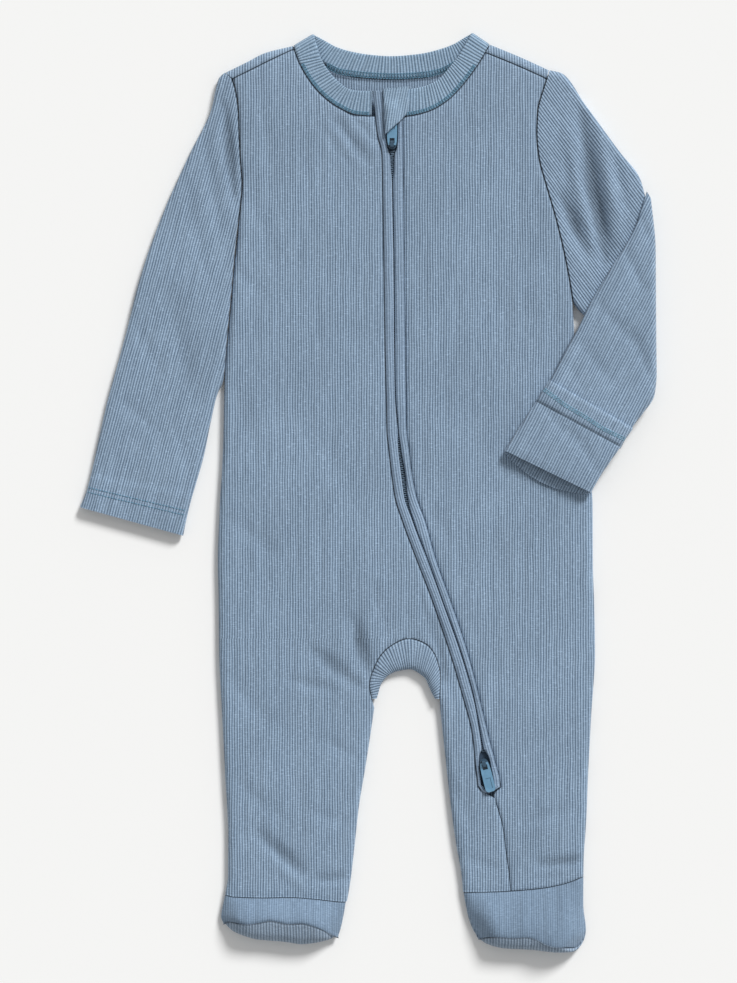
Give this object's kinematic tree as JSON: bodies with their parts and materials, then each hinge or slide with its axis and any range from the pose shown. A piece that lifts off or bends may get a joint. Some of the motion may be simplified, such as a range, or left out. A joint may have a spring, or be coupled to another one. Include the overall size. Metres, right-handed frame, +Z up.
{
  "type": "footed baby sleepsuit",
  "caption": "Long-sleeved, footed baby sleepsuit in fine rib knit with a diagonal two-way zip, laid flat on its back with one sleeve folded over.",
  "frame": {"origin": "centre of the bounding box's base, on the surface the sleepsuit lies on", "axes": "+Y towards the neck, +X towards the wearer's left side (the viewer's right), +Z up out of the front"},
  "size_m": [0.374, 0.596, 0.0162],
  "materials": {
    "knit": "matte fine rib knit",
    "band": "matte fine rib knit",
    "binding": "matte fine rib knit",
    "sole": "matte fine rib knit",
    "zip_tape": "matte woven tape",
    "slider": "satin paint"
  },
  "bodies": {
    "suit": {"back": "knit", "front_main": "knit", "front_side": "knit", "gusset": "knit", "sleeve_left": "knit", "sleeve_right": "knit", "neckband": "band", "zip_strip_left": "binding", "zip_strip_right": "binding", "chin_guard": "band", "zip_tape": "zip_tape", "foot_left_upper": "knit", "foot_left_sole": "sole", "foot_right_upper": "knit", "foot_right_sole": "sole", "slider_top": "slider", "pull_top": "slider", "slider_bottom": "slider"},
    "pull_bottom": {"pull_bottom": "slider"}
  },
  "joints": [
    {"name": "pull_bottom", "type": "hinge", "parent": "suit", "child": "pull_bottom", "pos_m": [0.07513, -0.17552, 0.0089], "axis": [-0.97, -0.243, 0], "range_deg": [0, 165]}
  ]
}
